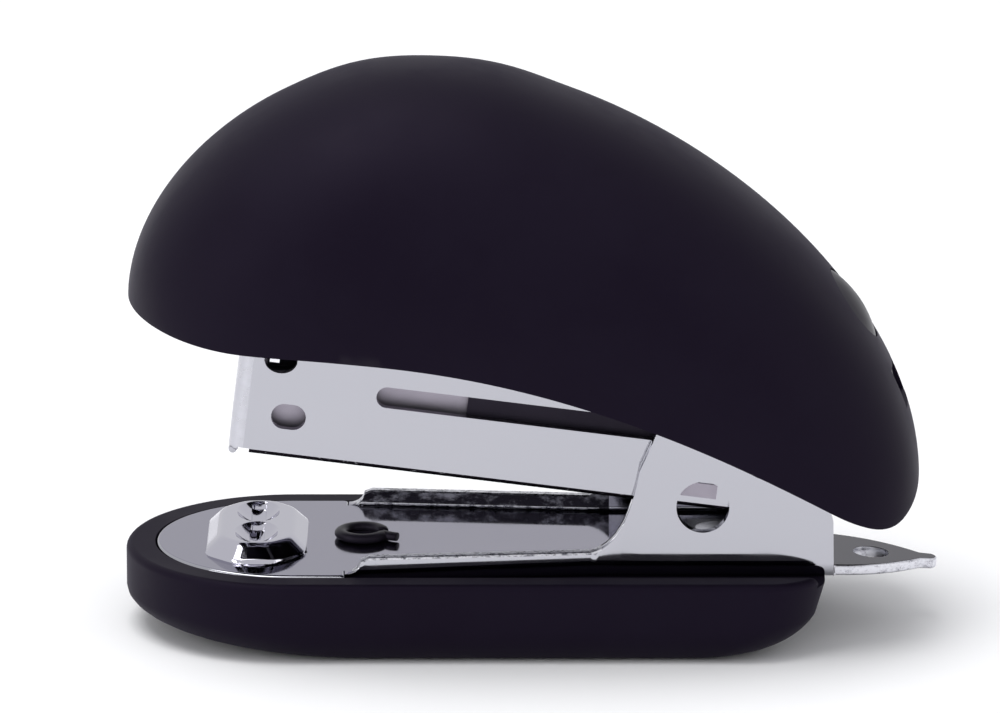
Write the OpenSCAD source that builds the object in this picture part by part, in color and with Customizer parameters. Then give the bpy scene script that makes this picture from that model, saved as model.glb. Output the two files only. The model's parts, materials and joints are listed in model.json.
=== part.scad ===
// Mini stapler. A moulded base carries a pressed plate with two ears. The staple
// magazine and the head both turn on a pair of rivets in the ears, and the head
// pushes a driver blade through the front of the magazine onto the anvil.
// X runs from the nose to the tail, Y across, Z up. The origin is the middle of
// the flat underside. Millimetres and degrees.

/* [Base] */
// Length of the base moulding
base_l = 58; // [54:1:70]
// Height of the base moulding at its rim
base_h = 6.8; // [6.4:0.1:8.2]
// Thickness of the base moulding's floor
base_floor = 2; // [1.5:0.1:2.4]
// Width of the rim round the plate
rim_w = 2.4; // [1.8:0.1:3]
// Distance from an ear to the base's outer side
base_margin = 4.7; // [4.2:0.1:7]
// Distance from the base's nose to the anvil's grooves
anvil_setback = 11.4; // [10.5:0.1:14]
// Height of the anvil above the plate
anvil_h = 1.4; // [1.1:0.1:1.7]

/* [Staples] */
// Outside width of a staple
staple_w = 12.9; // [10.5:0.1:16]
// Width of the staple's wire
wire_w = 0.7; // [0.5:0.05:0.9]

/* [Sheet metal] */
// Thickness of the base plate and its ears
plate_t = 1; // [0.8:0.05:1.25]
// Thickness of the magazine channel
channel_t = 0.8; // [0.6:0.05:1]
// Depth of the magazine channel
channel_h = 9.9; // [9.2:0.1:10.6]
// Thickness of the head frame
frame_t = 1.2; // [1:0.05:1.5]
// Thickness of the driver blade
blade_t = 0.6; // [0.4:0.05:0.7]
// Thickness of the staple remover
tongue_t = 0.9; // [0.7:0.05:1.1]
// Length of the staple remover behind the plate
tongue_l = 8.6; // [7:0.2:12]

/* [Head] */
// Height of the head's crown above its nose
crown_h = 19.3; // [15.3:0.1:25.3]
// Wall of the head moulding
head_wall = 1.8; // [1.4:0.1:2.2]
// Distance from a frame cheek to the head's outer side
head_margin = 6.7; // [6:0.1:9]
// Overhang of the head in front of the magazine
head_overhang = 8.8; // [7:0.2:12]

/* [Motion] */
// Radius of the pivot rivets
pin_r = 1.5; // [1.2:0.05:1.8]
// Height of the pivot above the plate
pivot_h = 10.6; // [10.2:0.1:12]
// Nose-up tilt of the magazine at rest
rest_tilt = 7.2; // [6:0.1:8]
// Angle through which the magazine drops onto the anvil
drop = 10; // [9:0.1:10]
// Angle through which the head turns to drive a staple
stroke = 10; // [9:0.5:11]

/* [Fits] */
// Radial clearance of a turning pin
pin_gap = 0.05; // [0.02:0.01:0.1]
// Gap between sheets that move past each other
layer_gap = 0.2; // [0.15:0.05:0.35]
// Gap between the magazine's moving and fixed parts
slide_gap = 0.1; // [0.08:0.01:0.2]
// Gap round a staple in the magazine
staple_gap = 0.15; // [0.1:0.05:0.25]
// Gap round a fixed piece in its seat
seat_gap = 0.1; // [0.05:0.05:0.2]

/* [Hidden] */
$fn = 48;
eps = 0.01;

// Layers across the stapler, from the middle out
channel_in = staple_w / 2 + staple_gap;
channel_out = channel_in + channel_t;
ear_in = channel_out + layer_gap;
ear_out = ear_in + plate_t;
cheek_in = ear_out + layer_gap;
cheek_out = cheek_in + frame_t;
rail_half = staple_w / 2 - wire_w;
blade_half = staple_w / 2 - staple_gap;
base_half_w = ear_out + base_margin;
head_half_w = cheek_out + head_margin;

// Heights and places along the base
plate_top = base_h + 0.1;
plate_bottom = plate_top - plate_t;
base_half_l = base_l / 2;
anvil_x = anvil_setback - base_half_l;
pivot_x = base_half_l - 4.8;
pivot_z = plate_top + pivot_h;

// The magazine's own frame has its origin on the pivot and X along its floor
channel_bottom = -6.5;
channel_top = channel_bottom + channel_h;
floor_top = channel_bottom + channel_t;
blade_back = 2;
press_tilt = rest_tilt - drop;
anvil_drop = pivot_z - plate_top - anvil_h;
groove_reach = (pivot_x - anvil_x) * cos(press_tilt) - anvil_drop * sin(press_tilt);
front = -(groove_reach + blade_back - blade_t / 2);
rail_top = 0.15;
rod_z = 1.9;
rod_r = 0.5;
channel_rear = 5.5;
follower_front = front + 19;
follower_body_l = 4.1;
follower_rear = -9;
anchor_x = 5;

// Head profile, seen from the side
nose_x = pivot_x + front - head_overhang;
crown_x = nose_x + 23.9;
tail_x = pivot_x + 12.5;
nose_z = pivot_z - front * sin(rest_tilt + stroke) - 2.28;
crown_z = nose_z + crown_h;
tail_z = pivot_z - 3.6;
lip_x = nose_x + 10;
lip_z = nose_z - 1.4;
lip_run = pivot_x + 5.1 - lip_x;
lip_fall = lip_z - pivot_z + 4.7;
lobe_x = tail_x - 4.5;
lobe_h = 3.6;
widest_x = nose_x + 20;

// ---------------------------------------------------------------- helpers

module magazine_frame() translate([pivot_x, 0, pivot_z]) rotate([0, rest_tilt, 0]) children();

// Frame of the head's metal parts: parallel to the magazine when the head is pressed
module drive_frame() translate([pivot_x, 0, pivot_z]) rotate([0, rest_tilt + stroke, 0]) children();

module both_sides() {
    children();
    mirror([0, 1, 0]) children();
}

// Sheet from y to y + t whose outline is drawn in X and Z
module side_sheet(y, t) translate([0, y + t, 0]) rotate([90, 0, 0]) linear_extrude(t) children();

// Rod of radius r along Y through (x, z), from y to y + l
module cross_rod(x, z, y, l, r) translate([x, y + l, z]) rotate([90, 0, 0]) cylinder(r = r, h = l);

// Slot with round ends along X, cut right across the part
module cross_slot(x0, x1, z, r) {
    for (x = [x0 + r, x1 - r]) cross_rod(x, z, -ear_out, 2 * ear_out, r);
    translate([x0 + r, -ear_out, z - r]) cube([x1 - x0 - 2 * r, 2 * ear_out, 2 * r]);
}

// Box that is centred across the part
module across(x0, x1, half, z0, z1) translate([x0, -half, z0]) cube([x1 - x0, 2 * half, z1 - z0]);

function arc(cx, cy, rx, ry, a0, a1, n) =
    [for (i = [0:n]) let (a = a0 + (a1 - a0) * i / n) [cx + rx * cos(a), cy + ry * sin(a)]];

function bezier(a, b, c, n) =
    [for (i = [0:n]) let (t = i / n) (1 - t) * (1 - t) * a + 2 * t * (1 - t) * b + t * t * c];

// D-shaped outline: half an ellipse at the nose, round corners at the tail
function d_outline(x0, x1, half, nose, r) = concat(
    arc(x0 + nose, 0, nose, half, 90, 270, 28),
    arc(x1 - r, -half + r, r, r, -90, 0, 6),
    arc(x1 - r, half - r, r, r, 0, 90, 6)
);

// Closed coil of round wire along +X from the origin
module coil(length, r, wire_r, turns) {
    steps = 12;
    sides = 6;
    rings = turns * steps;
    points = [
        for (i = [0:rings], k = [0:sides - 1])
            let (a = 360 * i / steps, b = 360 * k / sides, rr = r + wire_r * cos(b))
            [wire_r + (length - 2 * wire_r) * i / rings + wire_r * sin(b), rr * cos(a), rr * sin(a)]
    ];
    sides_faces = [
        for (i = [0:rings - 1], k = [0:sides - 1])
            let (n = (k + 1) % sides, a = i * sides + k, b = i * sides + n, c = b + sides, d = a + sides)
            each [[a, b, c], [a, c, d]]
    ];
    ends = [[for (k = [sides - 1:-1:0]) k], [for (k = [0:sides - 1]) rings * sides + k]];
    polyhedron(points, concat(sides_faces, ends), convexity = 10);
}

// ---------------------------------------------------------------- base

// Inset at height z of an edge that turns in by depth over the lowest part, turn
function turned_in(z, turn, depth) = z >= turn ? 0 : depth * (1 - sqrt(1 - pow((turn - z) / turn, 2)));

module base_slice(z, inset) translate([0, 0, z])
    linear_extrude(eps)
        polygon(d_outline(
            -base_half_l + turned_in(z, 3.2, 10.4) + inset,
            base_half_l - turned_in(z, base_h - 0.6, 7.1) - inset,
            base_half_w - turned_in(z, 3.2, 2.3) - inset,
            base_half_w + 0.5 - turned_in(z, 3.2, 2.3) - inset,
            5
        ));

clip_x = anvil_x + 8.3;
clip_r = 1.7;
tongue_half = 4.5;
rivet_xs = [pivot_x - 4.2, pivot_x + 1.2];
rivet_r = 1;

module base_shell() color("#1f1c23") difference() {
    union() {
        difference() {
            hull() {
                for (z = [0, 0.25, 0.8, 1.7, 3.2, base_h - 0.5]) base_slice(z, 0);
                base_slice(base_h - eps, 0.4);
            }
            // Seat of the plate, open at the tail
            translate([0, 0, plate_bottom]) linear_extrude(plate_t + 1)
                polygon(d_outline(rim_w - base_half_l, base_half_l + 2, base_half_w - rim_w,
                                  base_half_w + 0.5 - rim_w, 0.5));
            // Hollow under the plate
            translate([0, 0, base_floor]) linear_extrude(base_h)
                polygon(d_outline(rim_w + 2.2 - base_half_l, base_half_l - 3.2,
                                  ear_in - 0.6, ear_in - 0.6, 1));
            // Way out for the staple remover
            across(pivot_x - 8, base_half_l + 1, tongue_half + 0.6, base_floor + 1.6, base_h + 1);
        }
        translate([clip_x, 0, base_floor - eps]) cylinder(r = 2.9, h = plate_bottom - base_floor + eps);
    }
    translate([clip_x, 0, base_floor]) cylinder(r = clip_r + seat_gap, h = base_h);
}

flange_x = anvil_x + 7;
ear_foot = [-14.7, -pivot_h + 1.25];
ear_step = 1.3;

// Outline of an ear about the pivot, in X and Z
module ear_outline() difference() {
    union() {
        circle(r = pin_r + 2);
        polygon(concat(
            bezier(ear_foot, [-11.8, -pivot_h + 1.9], [-10.7, -2.2], 10),
            [[-9.1, 1.4], [-7.6, 2.8], [0, pin_r + 2], [pin_r + 2, 0], [5.3, -6.6],
             [5.2, plate_bottom - pivot_z], [ear_foot[0], plate_bottom - pivot_z]]
        ));
    }
    circle(r = pin_r + pin_gap);
    translate([-5.5, -5.4]) circle(r = 2.17);
}

module base_plate() color("#c4c4cf") {
    nose_half = base_half_w - rim_w - seat_gap;
    flange_half = nose_half - 0.5;
    ear_x = pivot_x + ear_foot[0];
    difference() {
        translate([0, 0, plate_bottom]) linear_extrude(plate_t) {
            polygon(d_outline(rim_w + seat_gap - base_half_l, flange_x + eps, nose_half,
                              base_half_w + 0.5 - rim_w - seat_gap, 0.3));
            polygon([
                [flange_x, flange_half], [flange_x, -flange_half], [ear_x, -ear_out],
                [pivot_x + 5.2, -ear_out], [pivot_x + 5.2, ear_out], [ear_x, ear_out]
            ]);
        }
        translate([clip_x, 0, 0]) cylinder(r = clip_r + seat_gap, h = pivot_z);
        for (x = rivet_xs) translate([x, 0, 0]) cylinder(r = rivet_r, h = pivot_z);
        for (y = [-1, 1] * stake_y) translate([anvil_x, y, 0]) cylinder(r = stake_r + seat_gap, h = pivot_z);
    }
    both_sides() {
        difference() {
            translate([0, 0, plate_bottom]) linear_extrude(plate_t + 1.25) polygon([
                [flange_x, flange_half], [ear_x, ear_out], [ear_x + eps, ear_in],
                [flange_x, flange_half - plate_t]
            ]);
            cross_rod(flange_x, plate_top + ear_step, 0, base_half_w, ear_step);
        }
        translate([pivot_x, 0, pivot_z]) side_sheet(ear_in, plate_t) ear_outline();
    }
}

stake_y = 4.6;
stake_r = 1.1;
groove_r = 1.35;

function octagon(a, b, c) =
    [[a, b - c], [a - c, b], [c - a, b], [-a, b - c], [-a, c - b], [c - a, -b], [a - c, -b], [a, c - b]];

module anvil() color("#d6d6de") translate([anvil_x, 0, plate_top]) {
    half = staple_w / 2 + 1.05;
    difference() {
        translate([-0.4, 0, 0]) hull() {
            linear_extrude(0.4) polygon(octagon(4.25, half, 2.6));
            translate([0, 0, anvil_h - 0.1]) linear_extrude(0.1) polygon(octagon(2.9, half - 1.4, 2.1));
        }
        // A pair of leg grooves with a land between them
        for (y = [-half + 0.7, 0.35]) cross_rod(0, anvil_h + 0.75, y, half - 1.05, groove_r);
    }
    for (y = [-1, 1] * stake_y) translate([0, y, -plate_t - 0.2])
        cylinder(r = stake_r, h = plate_t + 0.2 + eps);
}

module plate_clip() color("#17161a") translate([clip_x, 0, 0]) difference() {
    union() {
        translate([0, 0, plate_top]) cylinder(r = 2.35, h = 0.75);
        translate([0, 0, base_floor + 0.8]) cylinder(r = clip_r, h = plate_top - base_floor - 0.7);
        // Finger tail of the split ring
        translate([2, -1, plate_top]) cube([1, 0.75, 0.75]);
    }
    translate([0, 0, base_floor]) cylinder(r = 1.2, h = base_h);
    translate([0, -0.25, base_floor]) cube([4, 0.5, base_h]);
}

tongue_x = pivot_x + 5.6;
tongue_slope = 4.2;

module tongue_outline() {
    tip_r = 0.9;
    polygon(concat(
        [[-0.3, tongue_half], [-0.3, -tongue_half]],
        bezier([0, -tongue_half], [tongue_l * 0.45, -tongue_half + 0.5], [tongue_l - 1.4, -tip_r], 8),
        arc(tongue_l - tip_r, 0, tip_r, tip_r, -60, 60, 8),
        bezier([tongue_l - 1.4, tip_r], [tongue_l * 0.45, tongue_half - 0.5], [0, tongue_half], 8)
    ));
}

module staple_remover() color("#bdbdc8") {
    difference() {
        translate([pivot_x - 7, -tongue_half, plate_bottom - tongue_t])
            cube([tongue_x - pivot_x + 7, 2 * tongue_half, tongue_t]);
        for (x = rivet_xs) translate([x, 0, 0]) cylinder(r = rivet_r, h = pivot_z);
    }
    translate([tongue_x, 0, plate_bottom]) rotate([0, tongue_slope, 0]) difference() {
        translate([0, 0, -tongue_t]) linear_extrude(tongue_t) tongue_outline();
        translate([3.1, 0, -2]) cylinder(r = 1.45, h = 4);
    }
}

leaf_t = 0.4;

module remover_rivets() color("#9a9aa4") for (x = rivet_xs) translate([x, 0, 0]) {
    bottom = plate_bottom - tongue_t;
    top = plate_top + leaf_t;
    translate([0, 0, bottom]) cylinder(r = rivet_r, h = top - bottom);
    translate([0, 0, bottom - 0.5]) cylinder(r = rivet_r + 0.7, h = 0.5);
    translate([0, 0, top]) cylinder(r = rivet_r + 0.7, h = 0.5);
}

module lift_spring() color("#8f8f99") {
    half = 4;
    loop_x = pivot_x + 3;
    loop_r = 1.4;
    tip_x = pivot_x - 9.7;
    tip_z = pivot_z + (pivot_x - tip_x) * tan(rest_tilt) + channel_bottom / cos(rest_tilt) - 0.03;
    loop_z = plate_top + loop_r;
    difference() {
        across(pivot_x - 6.5, loop_x, half, plate_top, plate_top + leaf_t);
        for (x = rivet_xs) translate([x, 0, 0]) cylinder(r = rivet_r, h = pivot_z);
    }
    difference() {
        cross_rod(loop_x, loop_z, -half, 2 * half, loop_r);
        cross_rod(loop_x, loop_z, -half - 1, 2 * half + 2, loop_r - leaf_t);
        translate([loop_x - 4, -half - 1, 0]) cube([4, 2 * half + 2, pivot_z]);
    }
    side_sheet(-half, 2 * half) polygon([
        [loop_x, loop_z + loop_r - leaf_t], [loop_x, loop_z + loop_r], [tip_x, tip_z], [tip_x, tip_z - leaf_t]
    ]);
}

// ---------------------------------------------------------------- magazine

// Channel seen from above, with round front corners
module channel_plan(half, x0, r) polygon(concat(
    [[channel_rear + 1, half]],
    arc(x0 + r, half - r, r, r, 90, 180, 6),
    arc(x0 + r, r - half, r, r, 180, 270, 6),
    [[channel_rear + 1, -half]]
));

lug_x = -5.2;
lug_z = floor_top + 0.15;

module magazine_channel() color("#c9c9d3") magazine_frame() difference() {
    union() {
        intersection() {
            translate([0, 0, channel_bottom]) linear_extrude(channel_h) difference() {
                channel_plan(channel_out, front, 1.4);
                channel_plan(channel_in, front + channel_t, 0.6);
            }
            side_sheet(-ear_in, 2 * ear_in) polygon([
                [front - 1, channel_bottom], [front - 1, channel_top], [-2.5, channel_top],
                [channel_rear, -0.5], [channel_rear, channel_bottom]
            ]);
        }
        intersection() {
            translate([0, 0, channel_bottom]) linear_extrude(channel_t) channel_plan(channel_out, front, 1.4);
            across(front - 1, channel_rear, ear_in, channel_bottom - 1, channel_top);
        }
        // Hooked lip under the front wall
        across(front, front + channel_t, channel_in - 1.6, channel_bottom - 0.25, channel_bottom + eps);
    }
    // Staple exit in the floor
    across(front + channel_t, front + blade_back + 0.2, channel_in, channel_bottom - 1, floor_top + eps);
    // Notches for the rod bracket in the top edges
    cross_rod(front + 3.15, channel_top - 1.5, -ear_out, 2 * ear_out, 1.3);
    across(front + 1.85, front + 4.45, ear_out, channel_top - 1.5, channel_top + 1);
    cross_slot(front + 2.9, front + 5.75, channel_bottom + 3.55, 0.98);
    cross_slot(front + 11.4, -6, -0.31, 0.79);
    cross_rod(0, 0, -ear_in, 2 * ear_in, pin_r);
    across(lug_x - 1.45, lug_x + 1.45, ear_in, lug_z, lug_z + 1.2);
}

module staple_rail() color("#b4b4bf") magazine_frame() {
    rear = -2.5;
    x0 = front + blade_back + 0.3;
    difference() {
        across(x0, rear, rail_half, floor_top, rail_top);
        across(x0 - 1, rear + 1, rail_half - channel_t, floor_top - 1, rail_top - channel_t);
    }
    // Lugs that lock into the channel's walls
    both_sides() translate([lug_x - 1.45, rail_half - eps, lug_z])
        cube([2.9, channel_out + 0.15 - rail_half, 1.2]);
}

module rod_bracket() color("#dcdce4") magazine_frame() difference() {
    x0 = front + blade_back + 0.5;
    union() {
        across(x0, x0 + 0.8, channel_in, rail_top + 1.1, channel_top);
        across(x0, x0 + 2, channel_in, channel_top - 0.7, channel_top);
    }
    translate([front, 0, rod_z]) rotate([0, 90, 0]) cylinder(r = rod_r, h = 10);
}

module guide_rod() color("#a8a8b0") magazine_frame()
    translate([front + blade_back + 0.5, 0, rod_z]) rotate([0, 90, 0])
        cylinder(r = rod_r, h = anchor_x + 1.4 - front - blade_back - 0.5);

module rod_anchor() color("#b4b4bf") magazine_frame() difference() {
    union() {
        across(anchor_x, anchor_x + 0.8, rail_half - 0.6, floor_top, channel_top - 0.3);
        across(anchor_x - 4, anchor_x + eps, rail_half - 0.6, floor_top, floor_top + 0.8);
    }
    translate([0, 0, rod_z]) rotate([0, 90, 0]) cylinder(r = rod_r, h = 10);
}

module follower_spring() color("#9c9ca6") magazine_frame()
    translate([follower_front + follower_body_l, 0, rod_z])
        coil(anchor_x - follower_front - follower_body_l, 1, 0.2, 14);

module pivot_rivets() color("#8d8d96") translate([pivot_x, 0, pivot_z]) both_sides() {
    cross_rod(0, 0, channel_in, cheek_out + slide_gap - channel_in, pin_r);
    cross_rod(0, 0, cheek_out + slide_gap, 0.6, pin_r + 0.9);
}

module staple_follower() color("#19181d") magazine_frame() {
    skin = staple_gap / 2 + 0.02;
    base_z = rail_top + slide_gap;
    difference() {
        across(follower_front, follower_front + follower_body_l, channel_in - slide_gap,
               base_z, channel_top - 0.3);
        translate([front, 0, rod_z]) rotate([0, 90, 0]) cylinder(r = rod_r + slide_gap, h = -front);
    }
    // Nose that reaches the last staple
    across(front + blade_back + 0.4, follower_front + eps, 4, base_z, base_z + 0.8);
    both_sides() translate([follower_front, rail_half + skin, -3.9])
        cube([follower_rear - follower_front, channel_in - slide_gap - rail_half - skin, base_z + 4.7]);
}

// ---------------------------------------------------------------- head

function ease(t) = let (c = min(max(t, 0), 1)) c * c * (3 - 2 * c);

// Height at x, within run of the top, of a rounded rise: a plain ellipse at its
// top that blends over this share of the run into a superellipse of the given power
function dome(x, run, power, share = 0.45) =
    let (u = min(abs(x) / run, 1), p = 2 + (power - 2) * ease(u / share)) pow(1 - pow(u, p), 1 / p);

function spine(x, inset) = x < crown_x
    ? nose_z + (crown_h - inset) * dome(x - crown_x, crown_x - nose_x - inset, 1.8)
    : tail_z + (crown_z - tail_z - inset) * dome(x - crown_x, tail_x - crown_x - inset, 1.7, 0.3);

function head_half(x, inset) = (head_half_w - inset) * (x < widest_x
    ? dome(x - widest_x, widest_x - nose_x - inset, 2.3)
    : dome(x - widest_x, tail_x - widest_x - inset, 3.4));

// The greater of a and b, rounded where they are within reach of each other
function soft_max(a, b, reach) = max(a, b) + pow(max(reach - abs(a - b), 0) / reach, 2) * reach / 4;

function lip(x) = x < lip_x
    ? lip_z + (nose_z - lip_z) * pow((lip_x - x) / (lip_x - nose_x), 2)
    : soft_max(lip_z - lip_fall * pow((x - lip_x) / lip_run, 2.2),
               tail_z - lobe_h * dome(max(x - lobe_x, 0), tail_x - lobe_x, 2), 2.5);

// Upright slice of the head at x, which reaches skirt below the lip
module head_slice(x, inset, skirt) {
    half = max(head_half(x, inset), 0.02);
    foot = lip(x);
    rise = max(spine(x, inset) - foot, 0.02);
    power = 2 / 2.25;
    points = [for (i = [0:24]) let (a = 180 * i / 24, s = sin(a), c = cos(a))
        [half * sign(c) * pow(abs(c), power), foot + rise * pow(s, power)]];
    translate([x, 0, 0]) rotate([90, 0, 90]) translate([0, 0, -eps / 2]) linear_extrude(eps)
        polygon(concat(points, [[-half, foot - skirt], [half, foot - skirt]]));
}

module head_loft(inset, skirt) {
    stations = 26;
    middle = (nose_x + tail_x) / 2;
    reach = (tail_x - nose_x) / 2 - inset - 0.03;
    for (i = [0:stations - 1]) hull() {
        head_slice(middle - reach * cos(180 * i / stations), inset, skirt);
        head_slice(middle - reach * cos(180 * (i + 1) / stations), inset, skirt);
    }
}

function spine_slope(x) = atan2(spine(x - 0.3, 0) - spine(x + 0.3, 0), 0.6);

web_bottom = channel_top + 0.4;
web_top = web_bottom + frame_t;
screw_xs = [front * 0.73, front * 0.27];
screw_r = 0.9;
inlay_x = tail_x - 5.3;
inlay_r = 3.3;
opening_z = pivot_z + 3;
bar_x = tail_x - 2.9;
bar_r = 0.8;

module head_shell() color("#1f1c23") difference() {
    union() {
        difference() {
            head_loft(0, 0.01);
            head_loft(head_wall, 3);
        }
        // Screw bosses that stand on the frame
        intersection() {
            head_loft(head_wall / 2, 0.01);
            drive_frame() for (x = screw_xs) translate([x, 0, web_top]) cylinder(r = 2.2, h = 40);
        }
    }
    drive_frame() for (x = screw_xs) translate([x, 0, web_top - 1]) cylinder(r = screw_r + 0.05, h = 8);
    translate([inlay_x, 0, spine(inlay_x, 0)]) rotate([0, spine_slope(inlay_x), 0])
        translate([0, 0, -0.9]) cylinder(r = inlay_r + seat_gap, h = 5);
    across(bar_x - 4, tail_x + 1, 3, opening_z - 1.6, opening_z + 1.6);
    cross_rod(bar_x, opening_z, -4.2, 8.4, bar_r);
}

module head_frame() color("#232126") drive_frame() {
    tab_x = front + blade_back;
    difference() {
        union() {
            across(tab_x, -1, cheek_out, web_bottom, web_top);
            across(tab_x, tab_x + 1, blade_half, web_bottom, web_top + 6.5);
        }
        for (x = screw_xs) translate([x, 0, web_bottom]) {
            translate([0, 0, -1]) cylinder(r = screw_r + seat_gap, h = 4);
            translate([0, 0, -eps]) cylinder(r1 = 2 * screw_r, r2 = screw_r, h = screw_r);
        }
        for (y = [-3.5, 3.5]) translate([tab_x - 1, y, web_top + 3.5]) rotate([0, 90, 0])
            cylinder(r = rivet_r, h = 3);
    }
    both_sides() side_sheet(cheek_in, frame_t) difference() {
        union() {
            circle(r = pin_r + 1.2);
            polygon([[-15, web_top], [-15, web_bottom], [-2.2, -1.5], [pin_r + 1.2, 0], [-1, web_top]]);
        }
        circle(r = pin_r + pin_gap);
    }
}

module driver_blade() color("#d2d2da") drive_frame() difference() {
    across(front + blade_back - blade_t, front + blade_back, blade_half, channel_bottom + 0.5, web_top + 6);
    for (y = [-3.5, 3.5]) translate([front, y, web_top + 3.5]) rotate([0, 90, 0])
        cylinder(r = rivet_r, h = 4);
}

module driver_rivets() color("#9a9aa4") drive_frame() for (y = [-3.5, 3.5])
    translate([front + blade_back, y, web_top + 3.5]) rotate([0, 90, 0]) {
        translate([0, 0, -blade_t]) cylinder(r = rivet_r, h = blade_t + 1);
        translate([0, 0, -blade_t - 0.45]) cylinder(r = rivet_r + 0.6, h = 0.45);
        translate([0, 0, 1]) cylinder(r = rivet_r + 0.6, h = 0.45);
    }

module frame_screws() color("#6e6e76") drive_frame() for (x = screw_xs) translate([x, 0, web_bottom]) {
    difference() {
        cylinder(r1 = 2 * screw_r - 0.08, r2 = screw_r - 0.08, h = screw_r);
        across(-0.25, 0.25, 1.4, -0.1, 0.4);
    }
    cylinder(r = screw_r - 0.08, h = 0.4);
    translate([0, 0, 0.4]) cylinder(r = screw_r, h = 6.6);
}

module return_spring() color("#8f8f99") {
    legs = channel_out - 0.2;
    t = 0.35;
    drive_frame() across(-9, -3, legs, web_bottom - t, web_bottom);
    // Two legs slope down to the channel's top edges and end in a cross bar
    knee = [-9 * cos(stroke) + web_bottom * sin(stroke), 9 * sin(stroke) + web_bottom * cos(stroke)];
    magazine_frame() difference() {
        side_sheet(-legs, 2 * legs) polygon([
            [knee[0], knee[1] - t], knee, [-24, channel_top + t + 0.03], [-24, channel_top + 0.03]
        ]);
        across(-22.5, knee[0] - 1.5, legs - 1.6, channel_top - 1, channel_top + 4);
    }
}

module spine_inlay() color("#0d0c10")
    translate([inlay_x, 0, spine(inlay_x, 0)]) rotate([0, spine_slope(inlay_x), 0]) intersection() {
        translate([0, 0, -0.9]) cylinder(r = inlay_r, h = 3);
        translate([0, 0, 0.35 - 9]) sphere(r = 9);
    }

module tail_bar() color("#0d0c10") cross_rod(bar_x, opening_z, -4.2, 8.4, bar_r);

base_shell();
base_plate();
anvil();
plate_clip();
staple_remover();
remover_rivets();
lift_spring();
magazine_channel();
staple_rail();
rod_bracket();
guide_rod();
rod_anchor();
follower_spring();
pivot_rivets();
staple_follower();
head_shell();
head_frame();
driver_blade();
driver_rivets();
frame_screws();
return_spring();
spine_inlay();
tail_bar();
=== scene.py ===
"""A palm-size stapler: soft-touch head and base round a chrome plate and magazine."""
import json
import math

import bpy
from mathutils import Matrix, Vector


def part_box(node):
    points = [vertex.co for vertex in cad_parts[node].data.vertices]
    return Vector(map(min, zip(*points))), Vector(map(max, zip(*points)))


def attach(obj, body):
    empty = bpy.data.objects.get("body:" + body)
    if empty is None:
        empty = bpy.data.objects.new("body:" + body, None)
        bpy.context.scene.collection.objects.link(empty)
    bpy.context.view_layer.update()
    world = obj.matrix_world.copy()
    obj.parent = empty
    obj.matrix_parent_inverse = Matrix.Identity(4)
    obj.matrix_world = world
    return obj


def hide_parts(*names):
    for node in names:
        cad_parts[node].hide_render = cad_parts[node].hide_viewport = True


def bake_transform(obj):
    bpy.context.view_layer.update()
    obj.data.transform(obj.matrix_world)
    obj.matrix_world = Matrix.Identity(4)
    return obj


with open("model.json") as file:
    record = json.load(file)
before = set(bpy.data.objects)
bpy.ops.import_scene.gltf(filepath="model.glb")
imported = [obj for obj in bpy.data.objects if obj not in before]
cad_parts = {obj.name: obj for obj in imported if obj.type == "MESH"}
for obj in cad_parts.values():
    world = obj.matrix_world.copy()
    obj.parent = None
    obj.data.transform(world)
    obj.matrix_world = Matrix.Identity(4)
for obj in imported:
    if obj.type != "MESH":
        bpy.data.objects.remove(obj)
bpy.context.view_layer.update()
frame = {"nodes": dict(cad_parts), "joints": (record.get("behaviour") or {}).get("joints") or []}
nodes = frame["nodes"]

MM = 0.001


# ---------------------------------------------------------------- sizes, in millimetres

def corners_mm(node):
    low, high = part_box(node)
    return [c / MM for c in low], [c / MM for c in high]


def joint(name):
    return next(j for j in frame["joints"] if j["name"] == name)


pivot_x, _, pivot_z = [c / MM for c in joint("magazine_tilt")["pos_m"]]
slide_axis = joint("follower_slide")["axis"]
REST_TILT = math.degrees(math.atan2(-slide_axis[2], slide_axis[0]))

head_low, head_high = corners_mm("head_shell")
base_high = corners_mm("base_shell")[1]
clip_low = corners_mm("plate_clip")[0]
anvil_low, anvil_high = corners_mm("anvil")
channel_low, channel_high = corners_mm("magazine_channel")

PLATE_T = 1.0
CHANNEL_T = 0.8
HEAD_WALL = 1.8
EAR_OUT = corners_mm("pivot_rivets")[1][1] - 2.1
plate_top = base_high[2] + 0.1
plate_bottom = plate_top - PLATE_T
base_half_l, base_half_w, base_h = base_high[0], base_high[1], base_high[2]
RIM_W = 2.4
clip_x = clip_low[0] + 2.35
anvil_x = (anvil_low[0] + anvil_high[0]) / 2
flange_x = anvil_x + 7.4
PIVOT = (pivot_x, 0, pivot_z)
PIN_R = 1.5
RIVET_R = 1.0
rivet_xs = (pivot_x - 4.2, pivot_x + 1.2)


# ---------------------------------------------------------------- curves

def ease(t):
    """Smooth step from 0 to 1."""
    t = min(max(t, 0), 1)
    return t * t * (3 - 2 * t)


def softer_min(a, b, reach):
    """The lower of a and b, rounded where they are less than reach apart."""
    blend = max(reach - abs(a - b), 0) / reach
    return min(a, b) - blend * blend * reach / 4


def arc(cx, cy, rx, ry, a0, a1, n):
    """Points of an ellipse's arc from a0 to a1 degrees, in n steps."""
    turns = [math.radians(a0 + (a1 - a0) * i / n) for i in range(n + 1)]
    return [(cx + rx * math.cos(a), cy + ry * math.sin(a)) for a in turns]


def bezier(a, b, c, n):
    """Points of the curve from a to c that b pulls on, in n steps."""
    return [tuple((1 - t) ** 2 * p + 2 * t * (1 - t) * q + t * t * r for p, q, r in zip(a, b, c))
            for t in [i / n for i in range(n + 1)]]


def line(a, b, n):
    """Points of the straight line from a to b, in n steps."""
    return [tuple(p + (q - p) * i / n for p, q in zip(a, b)) for i in range(n + 1)]


# ---------------------------------------------------------------- modelling helpers

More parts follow.
